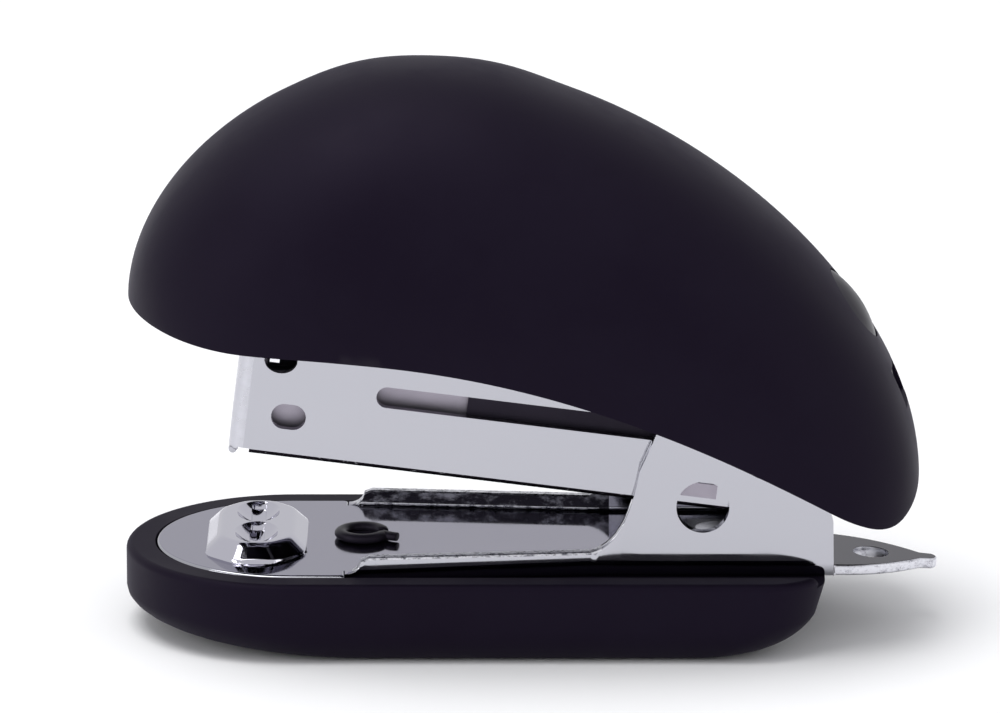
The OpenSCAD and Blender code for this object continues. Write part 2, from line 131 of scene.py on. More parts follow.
def deselect():
    if bpy.context.object and bpy.context.object.mode != "OBJECT":
        bpy.ops.object.mode_set(mode="OBJECT")
    for o in bpy.context.selected_objects:
        o.select_set(False)


def activate(obj):
    deselect()
    bpy.context.view_layer.objects.active = obj
    obj.select_set(True)


def in_edit_mode(obj, operation, **options):
    activate(obj)
    bpy.ops.object.mode_set(mode="EDIT")
    operation(**options)
    bpy.ops.object.mode_set(mode="OBJECT")


def select_all_in(obj):
    in_edit_mode(obj, bpy.ops.mesh.select_all, action="SELECT")


def merge_doubles(obj, distance=0.004):
    select_all_in(obj)
    in_edit_mode(obj, bpy.ops.mesh.remove_doubles, threshold=distance * MM)


def face_outwards(obj):
    select_all_in(obj)
    in_edit_mode(obj, bpy.ops.mesh.normals_make_consistent, inside=False)


def modify(obj, kind, **settings):
    """Adds a modifier with these settings and applies it."""
    activate(obj)
    modifier = obj.modifiers.new(kind.lower(), kind)
    for key, value in settings.items():
        setattr(modifier, key, value)
    bpy.ops.object.modifier_apply(modifier=modifier.name)
    return obj


def soften(obj, width, segments=2, angle=32):
    """Rounds every edge that is sharper than angle."""
    return modify(obj, "BEVEL", width=width * MM, segments=segments, limit_method="ANGLE",
                  angle_limit=math.radians(angle), use_clamp_overlap=True, harden_normals=False)


def cut(obj, cutter):
    modify(obj, "BOOLEAN", operation="DIFFERENCE", object=cutter, solver="EXACT")
    bpy.data.objects.remove(cutter)
    return obj


def smooth(obj, angle=35):
    activate(obj)
    bpy.ops.object.shade_smooth_by_angle(angle=math.radians(angle))


def set_places(obj, place):
    """Moves each vertex to where place() says, in millimetres."""
    for v in obj.data.vertices:
        v.co = Vector(place(v.co)) * MM
    obj.data.update()


def grid_surface(columns, rows, place):
    """A grid whose (s, t), each 0 to 1, is laid where place(s, t) says."""
    deselect()
    bpy.ops.mesh.primitive_grid_add(x_subdivisions=columns, y_subdivisions=rows, size=2)
    obj = bpy.context.object
    set_places(obj, lambda co: place((co.x + 1) / 2, (co.y + 1) / 2))
    return obj


def outline_ring(points, z):
    return [(x, y, z) for x, y in points]


def loft(rings, closed_ends=(True, True)):
    """Extrudes the first ring through the others in turn."""
    deselect()
    fill = "NGON" if closed_ends[0] else "NOTHING"
    bpy.ops.mesh.primitive_circle_add(vertices=len(rings[0]), fill_type=fill)
    obj = bpy.context.object
    for v, place in zip(obj.data.vertices, rings[0]):
        v.co = Vector(place) * MM
    count = len(rings[0])
    for ring in rings[1:]:
        in_edit_mode(obj, bpy.ops.mesh.extrude_region)
        start = len(obj.data.vertices) - count
        for i, place in enumerate(ring):
            obj.data.vertices[start + i].co = Vector(place) * MM
    if closed_ends[1]:
        in_edit_mode(obj, bpy.ops.mesh.edge_face_add)
    face_outwards(obj)
    return obj


def prism(points, low, high):
    """A straight block whose outline is given in X and Y."""
    return loft([outline_ring(points, low), outline_ring(points, high)])


def side_prism(points, half):
    """A straight block across the stapler, whose outline is given in X and Z."""
    return loft([[(x, -half, z) for x, z in points], [(x, half, z) for x, z in points]])


def join_to(obj, other):
    activate(obj)
    other.select_set(True)
    bpy.ops.object.join()
    return obj


def paint_faces(obj, slot, test):
    """Gives material slot to each face whose centre, in millimetres, and normal pass the test."""
    for face in obj.data.polygons:
        if test(face.center / MM, face.normal):
            face.material_index = slot


def tube_cutter(centre, axis, radius, length, vertices=48):
    """A cylinder round centre, in millimetres, to cut a round hole with."""
    deselect()
    turn = Vector(axis).to_track_quat("Z", "Y").to_euler()
    bpy.ops.mesh.primitive_cylinder_add(vertices=vertices, radius=radius * MM, depth=length * MM,
                                        location=Vector(centre) * MM, rotation=turn)
    return bpy.context.object


def box_cutter(low, high):
    deselect()
    low, high = Vector(low) * MM, Vector(high) * MM
    bpy.ops.mesh.primitive_cube_add(size=1, location=(low + high) / 2, scale=high - low)
    return bpy.context.object


def bake_place(obj):
    """Puts the object's own place into its mesh."""
    obj.data.transform(obj.matrix_world)
    obj.matrix_world = Matrix.Identity(4)


def tilt_at(obj, place, degrees):
    """Moves a mesh from its own frame to place, in millimetres, tilted by degrees."""
    shift = Matrix.Translation(Vector(place) * MM)
    obj.data.transform(shift @ Matrix.Rotation(math.radians(degrees), 4, "Y"))


def settle(obj, name, body, material, replaced=None, angle=35):
    """Names a finished piece, gives it its finish and hangs it on its body, if it has only one."""
    obj.name = obj.data.name = name
    obj.data.materials.clear()
    for m in material if isinstance(material, (list, tuple)) else [material]:
        obj.data.materials.append(m)
    smooth(obj, angle)
    modify(obj, "WEIGHTED_NORMAL", keep_sharp=True)
    if body:
        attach(obj, body)
    if replaced:
        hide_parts(*replaced)
    return obj


# ---------------------------------------------------------------- finishes

def new_group(name, inputs, outputs):
    """A shader group with named float inputs, given as name to default, and named outputs."""
    group = bpy.data.node_groups.new(name, "ShaderNodeTree")
    for label, default in inputs.items():
        socket = group.interface.new_socket(label, in_out="INPUT", socket_type="NodeSocketFloat")
        socket.default_value = default
    for label in outputs:
        group.interface.new_socket(label, in_out="OUTPUT", socket_type="NodeSocketFloat")
    return group, group.nodes.new("NodeGroupInput"), group.nodes.new("NodeGroupOutput")


def noise_node(tree, scale, detail=3.0, roughness=0.5):
    node = tree.nodes.new("ShaderNodeTexNoise")
    node.inputs["Detail"].default_value = detail
    node.inputs["Roughness"].default_value = roughness
    if isinstance(scale, (int, float)):
        node.inputs["Scale"].default_value = scale
    else:
        tree.links.new(scale, node.inputs["Scale"])
    return node


def spread(tree, value, low, high, out_low=0.0, out_high=1.0):
    """Stretches the stretch low to high of value over out_low to out_high."""
    node = tree.nodes.new("ShaderNodeMapRange")
    node.interpolation_type = "SMOOTHSTEP"
    for label, number in (("From Min", low), ("From Max", high), ("To Min", out_low), ("To Max", out_high)):
        node.inputs[label].default_value = number
    tree.links.new(value, node.inputs["Value"])
    return node.outputs["Result"]


def object_place(tree, stretch=(1, 1, 1)):
    coordinates = tree.nodes.new("ShaderNodeTexCoord")
    mapping = tree.nodes.new("ShaderNodeMapping")
    mapping.inputs["Scale"].default_value = stretch
    tree.links.new(coordinates.outputs["Object"], mapping.inputs["Vector"])
    return mapping.outputs["Vector"]


def build_grain_group():
    """Fine moulded grain: a height that is the same all round."""
    group, taken, given = new_group("moulded_grain", {"Scale": 5000.0}, ["Height"])
    noise = noise_node(group, taken.outputs["Scale"], 2.0)
    group.links.new(object_place(group), noise.inputs["Vector"])
    group.links.new(noise.outputs["Fac"], given.inputs["Height"])
    return group


def build_marks_group():
    """Soft handling marks and a few fine specks of dust."""
    group, taken, given = new_group("handling_marks", {"Scale": 120.0, "Speck scale": 2600.0},
                                    ["Smudge", "Specks"])
    place = object_place(group)
    smudge = noise_node(group, taken.outputs["Scale"], 4.0, 0.6)
    speck = noise_node(group, taken.outputs["Speck scale"], 1.0)
    for node in (smudge, speck):
        group.links.new(place, node.inputs["Vector"])
    group.links.new(spread(group, smudge.outputs["Fac"], 0.35, 0.7), given.inputs["Smudge"])
    group.links.new(spread(group, speck.outputs["Fac"], 0.80, 0.9, 0.0, 0.35), given.inputs["Specks"])
    return group


def build_drawn_group():
    """Faint lines along X, as sheet and wire have from rolling and drawing."""
    group, taken, given = new_group("drawn_lines", {"Scale": 900.0}, ["Height", "Scratches"])
    place = object_place(group, (0.05, 1, 1))
    lines = noise_node(group, taken.outputs["Scale"], 5.0, 0.7)
    scratch = noise_node(group, taken.outputs["Scale"], 2.0, 0.5)
    group.links.new(place, lines.inputs["Vector"])
    group.links.new(object_place(group, (1, 0.06, 0.2)), scratch.inputs["Vector"])
    group.links.new(lines.outputs["Fac"], given.inputs["Height"])
    group.links.new(spread(group, scratch.outputs["Fac"], 0.66, 0.72), given.inputs["Scratches"])
    return group


def build_wear_and_corner_shade_group():
    """Edges that hands and paper have rubbed, and painted shade in hollow corners."""
    group, taken, given = new_group("edge_wear_and_corner_shade", {"Scale": 700.0}, ["Edge", "Painted_corner_shade"])
    geometry = group.nodes.new("ShaderNodeNewGeometry")
    noise = noise_node(group, taken.outputs["Scale"], 4.0, 0.65)
    group.links.new(object_place(group), noise.inputs["Vector"])
    mix = group.nodes.new("ShaderNodeMath")
    mix.operation = "MULTIPLY"
    group.links.new(spread(group, geometry.outputs["Pointiness"], 0.53, 0.6), mix.inputs[0])
    group.links.new(noise.outputs["Fac"], mix.inputs[1])
    group.links.new(mix.outputs["Value"], given.inputs["Edge"])
    # Painted corner shade: nearer 1 the more hollow the surface is
    group.links.new(spread(group, geometry.outputs["Pointiness"], 0.48, 0.4), given.inputs["Painted_corner_shade"])
    return group


GRAIN = build_grain_group()
MARKS = build_marks_group()
DRAWN = build_drawn_group()
WEAR_AND_CORNER_SHADE = build_wear_and_corner_shade_group()


def use_group(tree, group, **values):
    node = tree.nodes.new("ShaderNodeGroup")
    node.node_tree = group
    for label, value in values.items():
        node.inputs[label.replace("_", " ")].default_value = value
    return node


def blend_colours(tree, factor, a, b):
    node = tree.nodes.new("ShaderNodeMix")
    node.data_type = "RGBA"
    for index, colour in ((6, a), (7, b)):
        if hasattr(colour, "links"):
            tree.links.new(colour, node.inputs[index])
        else:
            node.inputs[index].default_value = (*colour, 1)
    tree.links.new(factor, node.inputs["Factor"])
    return node.outputs[2]


def add_numbers(tree, *values):
    total = values[0]
    for value in values[1:]:
        node = tree.nodes.new("ShaderNodeMath")
        tree.links.new(total, node.inputs[0])
        tree.links.new(value, node.inputs[1])
        total = node.outputs["Value"]
    return total


def new_material(name, **constants):
    """A material and its Principled shader, with constants set on its own sockets."""
    material = bpy.data.materials.new(name)
    material.use_nodes = True
    shader = material.node_tree.nodes["Principled BSDF"]
    for label, value in constants.items():
        shader.inputs[label.replace("_", " ")].default_value = value
    return material, material.node_tree, shader


def bump(tree, shader, height, strength, distance):
    node = tree.nodes.new("ShaderNodeBump")
    node.inputs["Strength"].default_value = strength
    node.inputs["Distance"].default_value = distance * MM
    tree.links.new(height, node.inputs["Height"])
    tree.links.new(node.outputs["Normal"], shader.inputs["Normal"])


def soft_touch():
    """Rubbery black paint over plastic: a wide sheen, very fine grain, faint marks."""
    material, tree, shader = new_material(
        "soft_touch_black", Specular_IOR_Level=0.10, Sheen_Weight=0.022, Sheen_Roughness=0.4,
        Sheen_Tint=(0.62, 0.50, 0.95, 1), Specular_Tint=(0.80, 0.68, 1.0, 1))
    marks = use_group(tree, MARKS, Scale=90.0, Speck_scale=2600.0)
    wear_and_shade = use_group(tree, WEAR_AND_CORNER_SHADE, Scale=900.0)
    grain = use_group(tree, GRAIN, Scale=6500.0)
    plain = blend_colours(tree, marks.outputs["Smudge"], (0.0048, 0.0028, 0.0082), (0.0060, 0.0040, 0.0100))
    rubbed = blend_colours(tree, wear_and_shade.outputs["Edge"], plain, (0.018, 0.016, 0.021))
    tree.links.new(blend_colours(tree, marks.outputs["Specks"], rubbed, (0.022, 0.020, 0.025)),
                   shader.inputs["Base Color"])
    tree.links.new(spread(tree, marks.outputs["Smudge"], 0, 1, 0.50, 0.58), shader.inputs["Roughness"])
    bump(tree, shader, grain.outputs["Height"], 0.10, 0.02)
    return material


def bright_metal(name, colour, dull, rough_low, rough_high, lines=0.02, line_scale=900.0):
    """Plated or drawn metal with faint lines, fine scratches, specks of dirt, and painted shade darkening its
    hollow corners.
    """
    material, tree, shader = new_material(name, Metallic=1.0)
    drawn = use_group(tree, DRAWN, Scale=line_scale)
    marks = use_group(tree, MARKS, Scale=160.0, Speck_scale=3000.0)
    wear_and_shade = use_group(tree, WEAR_AND_CORNER_SHADE, Scale=1200.0)
    # Hollow corners blended towards the dull colour: painted shade
    corner_shaded = blend_colours(tree, wear_and_shade.outputs["Painted_corner_shade"], colour, dull)
    tree.links.new(blend_colours(tree, marks.outputs["Specks"], corner_shaded, dull), shader.inputs["Base Color"])
    rough = spread(tree, marks.outputs["Smudge"], 0, 1, rough_low, rough_high)
    extra = spread(tree, drawn.outputs["Scratches"], 0, 1, 0, 0.06)
    tree.links.new(add_numbers(tree, rough, extra), shader.inputs["Roughness"])
    bump(tree, shader, drawn.outputs["Height"], lines, 0.02)
    return material


def flecked_metal(name, dark, light, low, high, scale=2500.0, height=0.4):
    """Metal mottled with flecks: the torn edge that a press tool leaves round sheet metal, dark with bright
    flecks, and also painted dark reflections and a painted highlight on chosen faces.
    """
    material, tree, shader = new_material(name, Metallic=1.0)
    flecks = noise_node(tree, scale, 5.0, 0.7)
    tree.links.new(object_place(tree, (0.6, 1, 1)), flecks.inputs["Vector"])
    share = spread(tree, flecks.outputs["Fac"], low, high)
    tree.links.new(blend_colours(tree, share, dark, light), shader.inputs["Base Color"])
    tree.links.new(spread(tree, flecks.outputs["Fac"], 0.3, 0.7, 0.22, 0.45), shader.inputs["Roughness"])
    bump(tree, shader, flecks.outputs["Fac"], height, 0.05)
    return material


def black_plastic(name, colour, rough_low, rough_high, coat=0.0):
    material, tree, shader = new_material(name, Coat_Roughness=0.15, Coat_Weight=coat, Specular_IOR_Level=0.2,
                                          Specular_Tint=(0.82, 0.72, 1.0, 1))
    marks = use_group(tree, MARKS, Scale=200.0, Speck_scale=2800.0)
    grain = use_group(tree, GRAIN, Scale=3500.0)
    lighter = tuple(c * 1.6 + 0.002 for c in colour)
    tree.links.new(blend_colours(tree, marks.outputs["Smudge"], colour, lighter), shader.inputs["Base Color"])
    rough = spread(tree, marks.outputs["Smudge"], 0, 1, rough_low, rough_high)
    tree.links.new(rough, shader.inputs["Roughness"])
    bump(tree, shader, grain.outputs["Height"], 0.05, 0.02)
    return material


SOFT_TOUCH = soft_touch()
CHROME = bright_metal("chrome_plate", (0.46, 0.46, 0.50), (0.24, 0.24, 0.26), 0.05, 0.10)
# Darker, rougher chrome for the magazine's insides: the darker colour is painted shade
CHROME_INSIDE_SHADED = bright_metal("chrome_inside_painted_shade", (0.34, 0.32, 0.37), (0.20, 0.20, 0.22), 0.38, 0.46, 0.05)
BRIGHT_CHROME = bright_metal("bright_chrome", (0.80, 0.80, 0.84), (0.40, 0.40, 0.43), 0.035, 0.07, 0.01)
DULL_PLATE = bright_metal("dull_plate", (0.50, 0.50, 0.55), (0.20, 0.20, 0.22), 0.16, 0.26, 0.05)
SPRING_STEEL = bright_metal("spring_steel", (0.38, 0.38, 0.41), (0.14, 0.13, 0.13), 0.18, 0.30, 0.08, 1600.0)
BLADE_STEEL = bright_metal("blade_steel", (0.55, 0.55, 0.59), (0.28, 0.28, 0.30), 0.12, 0.20, 0.10, 1400.0)
# Darker violet chrome for the plate's upward faces: a painted reflection of the dark head
PLATE_TOP_PAINTED_REFLECTION = bright_metal("plate_top_painted_reflection", (0.33, 0.32, 0.39), (0.18, 0.18, 0.20), 0.06, 0.12)
ANVIL_CHROME = bright_metal("anvil_chrome", (0.62, 0.61, 0.68), (0.30, 0.30, 0.33), 0.05, 0.09, 0.01)
# Near-black chrome for the remover blade: a painted dark reflection of the head above it
BLADE_PAINTED_DARK_REFLECTION = bright_metal("blade_painted_dark_reflection", (0.040, 0.036, 0.050), (0.02, 0.02, 0.02), 0.08, 0.14)
# Near-black with light streaks for the inner faces of the plate's walls: a painted dark reflection
WALL_PAINTED_DARK_REFLECTION = flecked_metal("inner_wall_painted_dark_reflection", (0.035, 0.032, 0.042), (0.50, 0.50, 0.55), 0.46, 0.70, 900.0, 0.35)
CUT_EDGE = flecked_metal("flecked_metal", (0.20, 0.20, 0.23), (0.80, 0.80, 0.84), 0.38, 0.58)
# Lighter chrome for the magazine's front face: a painted highlight, with fine speckles
FRONT_PAINTED_HIGHLIGHT = flecked_metal("front_face_painted_highlight", (0.52, 0.52, 0.56), (0.60, 0.60, 0.65), 0.3, 0.7, 700.0, 0.04)
RAIL_SATIN = bright_metal("rail_satin", (0.40, 0.37, 0.43), (0.25, 0.24, 0.26), 0.42, 0.50, 0.05)
WORN_EDGE = flecked_metal("worn_edge", (0.30, 0.30, 0.34), (0.75, 0.75, 0.80), 0.3, 0.55, 1800.0, 0.3)
# Near-black band with bright flecks for the magazine's bottom bend: a painted dark reflection
BEND_PAINTED_DARK_REFLECTION = flecked_metal("bottom_bend_painted_dark_reflection", (0.010, 0.008, 0.012), (0.60, 0.60, 0.65), 0.60, 0.68, 2200.0, 0.6)
BLACK_NYLON = black_plastic("black_nylon", (0.011, 0.009, 0.014), 0.34, 0.46)
GLOSS_BLACK = black_plastic("gloss_black", (0.004, 0.003, 0.006), 0.30, 0.38)
BLACK_OXIDE = bright_metal("black_oxide", (0.055, 0.055, 0.060), (0.02, 0.02, 0.02), 0.30, 0.42, 0.06)


# ---------------------------------------------------------------- head

nose_x, tail_x = head_low[0], head_high[0]
nose_z, tail_z = pivot_z + 10.7, pivot_z - 3.6
crown_x, crown_z = nose_x + 23.9, head_high[2]
widest_x, head_half_w = nose_x + 20, head_high[1]
lip_x, lip_z = nose_x + 10, pivot_z + 9.3
lobe_x, LOBE_H = tail_x - 4.5, 3.6
LIP_FALL = 14
LIP_BLEND = 2.5
SECTION_POWER = 2 / 2.25
INLAY_SEAT_R = 3.4


def dome(x, run, power, share=0.45):
    """Height of a rounded rise that is a plain ellipse at its top and blends to a superellipse."""
    u = min(abs(x) / run, 1)
    p = 2 + (power - 2) * ease(u / share)
    return max(1 - u ** p, 0) ** (1 / p)


def spine(x):
    if x < crown_x:
        return nose_z + (crown_z - nose_z) * dome(x - crown_x, crown_x - nose_x, 1.8)
    return tail_z + (crown_z - tail_z) * dome(x - crown_x, tail_x - crown_x, 1.7, 0.3)


def head_half(x):
    if x < widest_x:
        return head_half_w * dome(x - widest_x, widest_x - nose_x, 2.3)
    return head_half_w * dome(x - widest_x, tail_x - widest_x, 3.4)


def lip(x):
    if x < lip_x:
        return lip_z + (nose_z - lip_z) * ((lip_x - x) / (lip_x - nose_x)) ** 2
    sweep = lip_z - LIP_FALL * ((x - lip_x) / (pivot_x + 5.1 - lip_x)) ** 2.2
    lobe = tail_z - LOBE_H * dome(max(x - lobe_x, 0), tail_x - lobe_x, 2)
    return max(sweep, lobe) + (max(LIP_BLEND - abs(sweep - lobe), 0) / LIP_BLEND) ** 2 * LIP_BLEND / 4


def head_point(s, t):
    """Point of the head's skin: s runs from nose to tail, t from one lip over to the other."""
    reach = (tail_x - nose_x) / 2
    x = (nose_x + tail_x) / 2 - reach * math.cos(math.pi * s)
    a = math.pi * t
    y = head_half(x) * math.copysign(abs(math.cos(a)) ** SECTION_POWER, math.cos(a))
    rise = max(spine(x) - lip(x), 0)
    return x, y, lip(x) + rise * math.sin(a) ** SECTION_POWER


def make_head_shell():
    shell = grid_surface(110, 72, head_point)
    merge_doubles(shell)
    face_outwards(shell)
    modify(shell, "SOLIDIFY", thickness=HEAD_WALL * MM, offset=-1, use_even_offset=False)
    soften(shell, 0.35, 3, 60)
    inlay_low, inlay_high = corners_mm("spine_inlay")
    middle = [(a + b) / 2 for a, b in zip(inlay_low, inlay_high)]
    slope = math.atan2(spine(middle[0] - 0.5) - spine(middle[0] + 0.5), 1)
    normal = (math.sin(slope), 0, math.cos(slope))
    seat_x = tail_x - 5.3
    seat = Vector((seat_x, 0, spine(seat_x))) + Vector(normal) * 1.6
    cut(shell, tube_cutter(seat, normal, INLAY_SEAT_R, 5, 64))
    bar_low, bar_high = corners_mm("tail_bar")
    bar_z = (bar_low[2] + bar_high[2]) / 2
    cut(shell, box_cutter((bar_low[0] - 3, -3, bar_z - 1.6), (tail_x + 2, 3, bar_z + 1.6)))
    return settle(shell, "head_skin", "head", SOFT_TOUCH, ["head_shell"], 40)


make_head_shell()


# ---------------------------------------------------------------- base

def d_outline(x0, x1, half, nose, r):
    """D-shaped outline: half an ellipse at the nose and round corners at the tail."""
    return (arc(x0 + nose, 0, nose, half, 90, 270, 48) + arc(x1 - r, r - half, r, r, -90, 0, 12)
            + arc(x1 - r, half - r, r, r, 0, 90, 12))


def turned_in(z, turn, depth):
    return 0 if z >= turn else depth * (1 - math.sqrt(1 - ((turn - z) / turn) ** 2))


FOOT_H = 3.2
RIM_ROUND = 0.6


def base_ring(z, inset):
    side = base_half_w - turned_in(z, FOOT_H, 2.3) - inset
    return outline_ring(d_outline(
        -base_half_l + turned_in(z, FOOT_H, 10.4) + inset,
        base_half_l - turned_in(z, base_h - RIM_ROUND, 7.1) - inset,
        side, side + 0.5, 5 - inset), z)


def make_base_shell():
    heights = [FOOT_H * (1 - math.cos(math.radians(9 * i))) for i in range(11)]
    rings = [base_ring(z, 0) for z in heights] + [base_ring(base_h - RIM_ROUND, 0)]
    rings += [base_ring(base_h - RIM_ROUND + RIM_ROUND * math.sin(a), RIM_ROUND * (1 - math.cos(a)))
              for a in [math.radians(15 * i) for i in range(1, 7)]]
    shell = loft(rings)
    seat_half = base_half_w - RIM_W
    cut(shell, prism(d_outline(RIM_W - base_half_l, base_half_l + 2, seat_half, seat_half + 0.5, 0.5),
                     plate_bottom, base_h + 2))
    cut(shell, prism(d_outline(RIM_W + 2.2 - base_half_l, base_half_l - 3.2, 7, 7, 1), 2, base_h + 2))
    cut(shell, box_cutter((pivot_x - 8, -5.1, 3.6), (base_half_l + 1, 5.1, base_h + 1)))
    soften(shell, 0.12, 2, 50)
    floor_z = 1.9
    post = tube_cutter((clip_x, 0, (floor_z + plate_bottom) / 2), (0, 0, 1), 2.9, plate_bottom - floor_z)
    bake_place(post)
    cut(post, tube_cutter((clip_x, 0, plate_bottom), (0, 0, 1), 1.8, 7))
    join_to(shell, post)
    return settle(shell, "base_skin", "base", SOFT_TOUCH, ["base_shell"], 40)


make_base_shell()


# ---------------------------------------------------------------- plate and what is on it

NOSE_HALF = base_half_w - RIM_W - 0.1
FLANGE_HALF = NOSE_HALF - 0.5
WALL_H = 1.35
ear_foot_x = pivot_x - 14.7


def plate_side():
    """Top edge of the plate's side walls, in X and Z, from the flange's step to the back of the ear."""
    points = [(flange_x + WALL_H * math.sin(a), plate_top + WALL_H * (1 - math.cos(a)))
              for a in [math.radians(13 * i) for i in range(7)]]
    foot = (ear_foot_x, plate_top + WALL_H)
    points += [(flange_x + 2 + (foot[0] - flange_x - 2) * i / 4, foot[1]) for i in range(5)]
    points += bezier(foot, (pivot_x - 11.8, plate_top + 2), (pivot_x - 10.7, pivot_z - 2.2), 12)[1:]
    points += [(pivot_x - 9.1, pivot_z + 1.4), (pivot_x - 7.6, pivot_z + 2.8)]
    points += [(pivot_x + a, pivot_z + b) for a, b in arc(0, 0, 3.5, 3.5, 90, 0, 6)]
    return points + [(pivot_x + 5.2, pivot_z - 6.6), (pivot_x + 5.24, pivot_z - 9),
                     (pivot_x + 5.27, plate_top + 0.1)]


def plate_ring(x, top):
    """Closed section of the bent plate at x: a flat floor with a wall up to top on each side."""
    taper = min(max((x - flange_x) / (ear_foot_x - flange_x), 0), 1)
    outer = FLANGE_HALF + (EAR_OUT - FLANGE_HALF) * taper
    inner = outer - PLATE_T
    rise = top - plate_top
    edge = min(0.12, rise / 2)
    eased = min(0.22, rise / 2)
    bend = min(max(rise - edge - 0.01, 0), 0.4)
    reach = bend + PLATE_T
    outside = [(outer - eased, top), (outer - 0.3 * eased, top - 0.3 * eased), (outer, top - eased)]
    outside += arc(outer - reach, plate_bottom + reach, reach, reach, 0, -90, 6)
    inside = arc(inner - bend, plate_top + bend, bend, bend, -90, 0, 6)
    inside += [(inner, top - edge), (inner + edge, top)]
    section = outside + [(-y, z) for y, z in reversed(outside)]
    section += [(-y, z) for y, z in reversed(inside)] + inside
    return [(x, y, z) for y, z in section]


def nose_ring(z, inset):
    """Outline of the plate's flat nose, with a neck that goes into the flanged part."""
    start = RIM_W + 0.1 - base_half_l + inset
    half = NOSE_HALF - inset
    points = arc(start + half + 0.5, 0, half + 0.5, half, 90, 270, 64)
    points += arc(flange_x - inset - 0.3, -half + 0.3, 0.3, 0.3, -90, 0, 4) + [(flange_x - inset, -9.2)]
    points += [(flange_x + 0.4, -9.1), (flange_x + 0.4, 9.1), (flange_x - inset, 9.2)]
    points += arc(flange_x - inset - 0.3, half - 0.3, 0.3, 0.3, 0, 90, 4)
    return [(x, y, z - 0.01 if x > flange_x else z) for x, y in points]


def make_base_plate():
    plate = loft([plate_ring(x, top) for x, top in plate_side()])
    merge_doubles(plate)
    face_outwards(plate)
    rings = [nose_ring(plate_bottom, 0.1), nose_ring(plate_bottom + 0.1, 0)]
    rings += [nose_ring(plate_top - 0.3 + 0.3 * math.sin(a), 0.3 * (1 - math.cos(a)))
              for a in [math.radians(22.5 * i) for i in range(5)]]
    join_to(plate, loft(rings))
    for place, axis, radius in ((PIVOT, (0, 1, 0), PIN_R + 0.05),
                                ((pivot_x - 5.5, 0, pivot_z - 5.4), (0, 1, 0), 2.17),
                                ((clip_x, 0, plate_top), (0, 0, 1), 1.8),
                                *(((x, 0, plate_top), (0, 0, 1), RIVET_R) for x in rivet_xs)):
        cut(plate, tube_cutter(place, axis, radius, 24 if axis[1] else 4))
    settle(plate, "plate_sheet", "base", [CHROME, CUT_EDGE, PLATE_TOP_PAINTED_REFLECTION, WALL_PAINTED_DARK_REFLECTION], ["base_plate"], 40)
    # Upward faces of the plate: painted dark reflection of the head
    paint_faces(plate, 2, lambda c, n: n.z > 0.9 and c.z < plate_top + 0.1)
    # Inner faces of the side walls: painted dark reflection, with light streaks
    paint_faces(plate, 3, lambda c, n: n.z < 0.9 and plate_top < c.z < plate_top + 1.3 and c.y * n.y < 0
                and flange_x + 0.8 < c.x < pivot_x - 13)
    paint_faces(plate, 1, lambda c, n: c.z > plate_top + 0.15 and abs(n.y) < 0.93 and n.z > 0.1
                and flange_x + 0.2 < c.x < pivot_x - 13.6 and abs(c.y) > EAR_OUT - PLATE_T - 0.05)
    return plate


make_base_plate()


ANVIL_HALF_L = 4.25
ANVIL_H = 1.4
CHAMFER = 2.6
POCKET_HALF_L, POCKET_HALF_W, POCKET_DEPTH = 2.95, 1.8, 0.95


def anvil_height(x, y, half):
    """Height of the anvil's face above the plate: a bevelled octagon with two dished pockets."""
    corner = (ANVIL_HALF_L + half - CHAMFER - abs(x) - abs(y)) / math.sqrt(2)
    sides = (ANVIL_HALF_L - abs(x), half - abs(y), corner)
    inset = -math.log(sum(math.exp(-4 * side) for side in sides)) / 4
    if inset <= 0:
        return -0.02
    height = softer_min(0.3 * ease(inset / 0.12) + 0.95 * max(inset - 0.12, 0), ANVIL_H, 0.3)
    dish = max(1 - (x / POCKET_HALF_W) ** 2 - ((abs(y) - POCKET_HALF_L) / POCKET_HALF_L) ** 2, 0)
    height -= POCKET_DEPTH * dish ** 0.9
    if abs(x) < 0.6 and 0.4 < abs(y) < 5.5:
        height -= min(0.4, 1.8 * dish)
    return max(height, 0.05)


def make_anvil():
    half = anvil_high[1]

    def place(s, t):
        y = half * (2 * t - 1)
        wide = min(ANVIL_HALF_L, ANVIL_HALF_L + half - CHAMFER - abs(y) + 0.001)
        x = wide * (2 * s - 1)
        return anvil_x + x, y, plate_top + anvil_height(x, y, half)

    face = grid_surface(150, 200, place)
    return settle(face, "anvil_die", "base", ANVIL_CHROME, ["anvil"], 50)


make_anvil()


def swept_tube(path, radius, sides=12, taper=None):
    """Round bar along a path of points in millimetres."""
    rings = []
    side = Vector((0, 0, 1))
    for i, point in enumerate(path):
        before, after = path[max(i - 1, 0)], path[min(i + 1, len(path) - 1)]
        along = (Vector(after) - Vector(before)).normalized()
        side = (side - along * side.dot(along)).normalized()
        other = along.cross(side)
        r = radius * (taper(i / (len(path) - 1)) if taper else 1)
        rings.append([tuple(Vector(point) + r * (side * math.cos(a) + other * math.sin(a)))
                      for a in [2 * math.pi * k / sides for k in range(sides)]])
    return loft(rings)


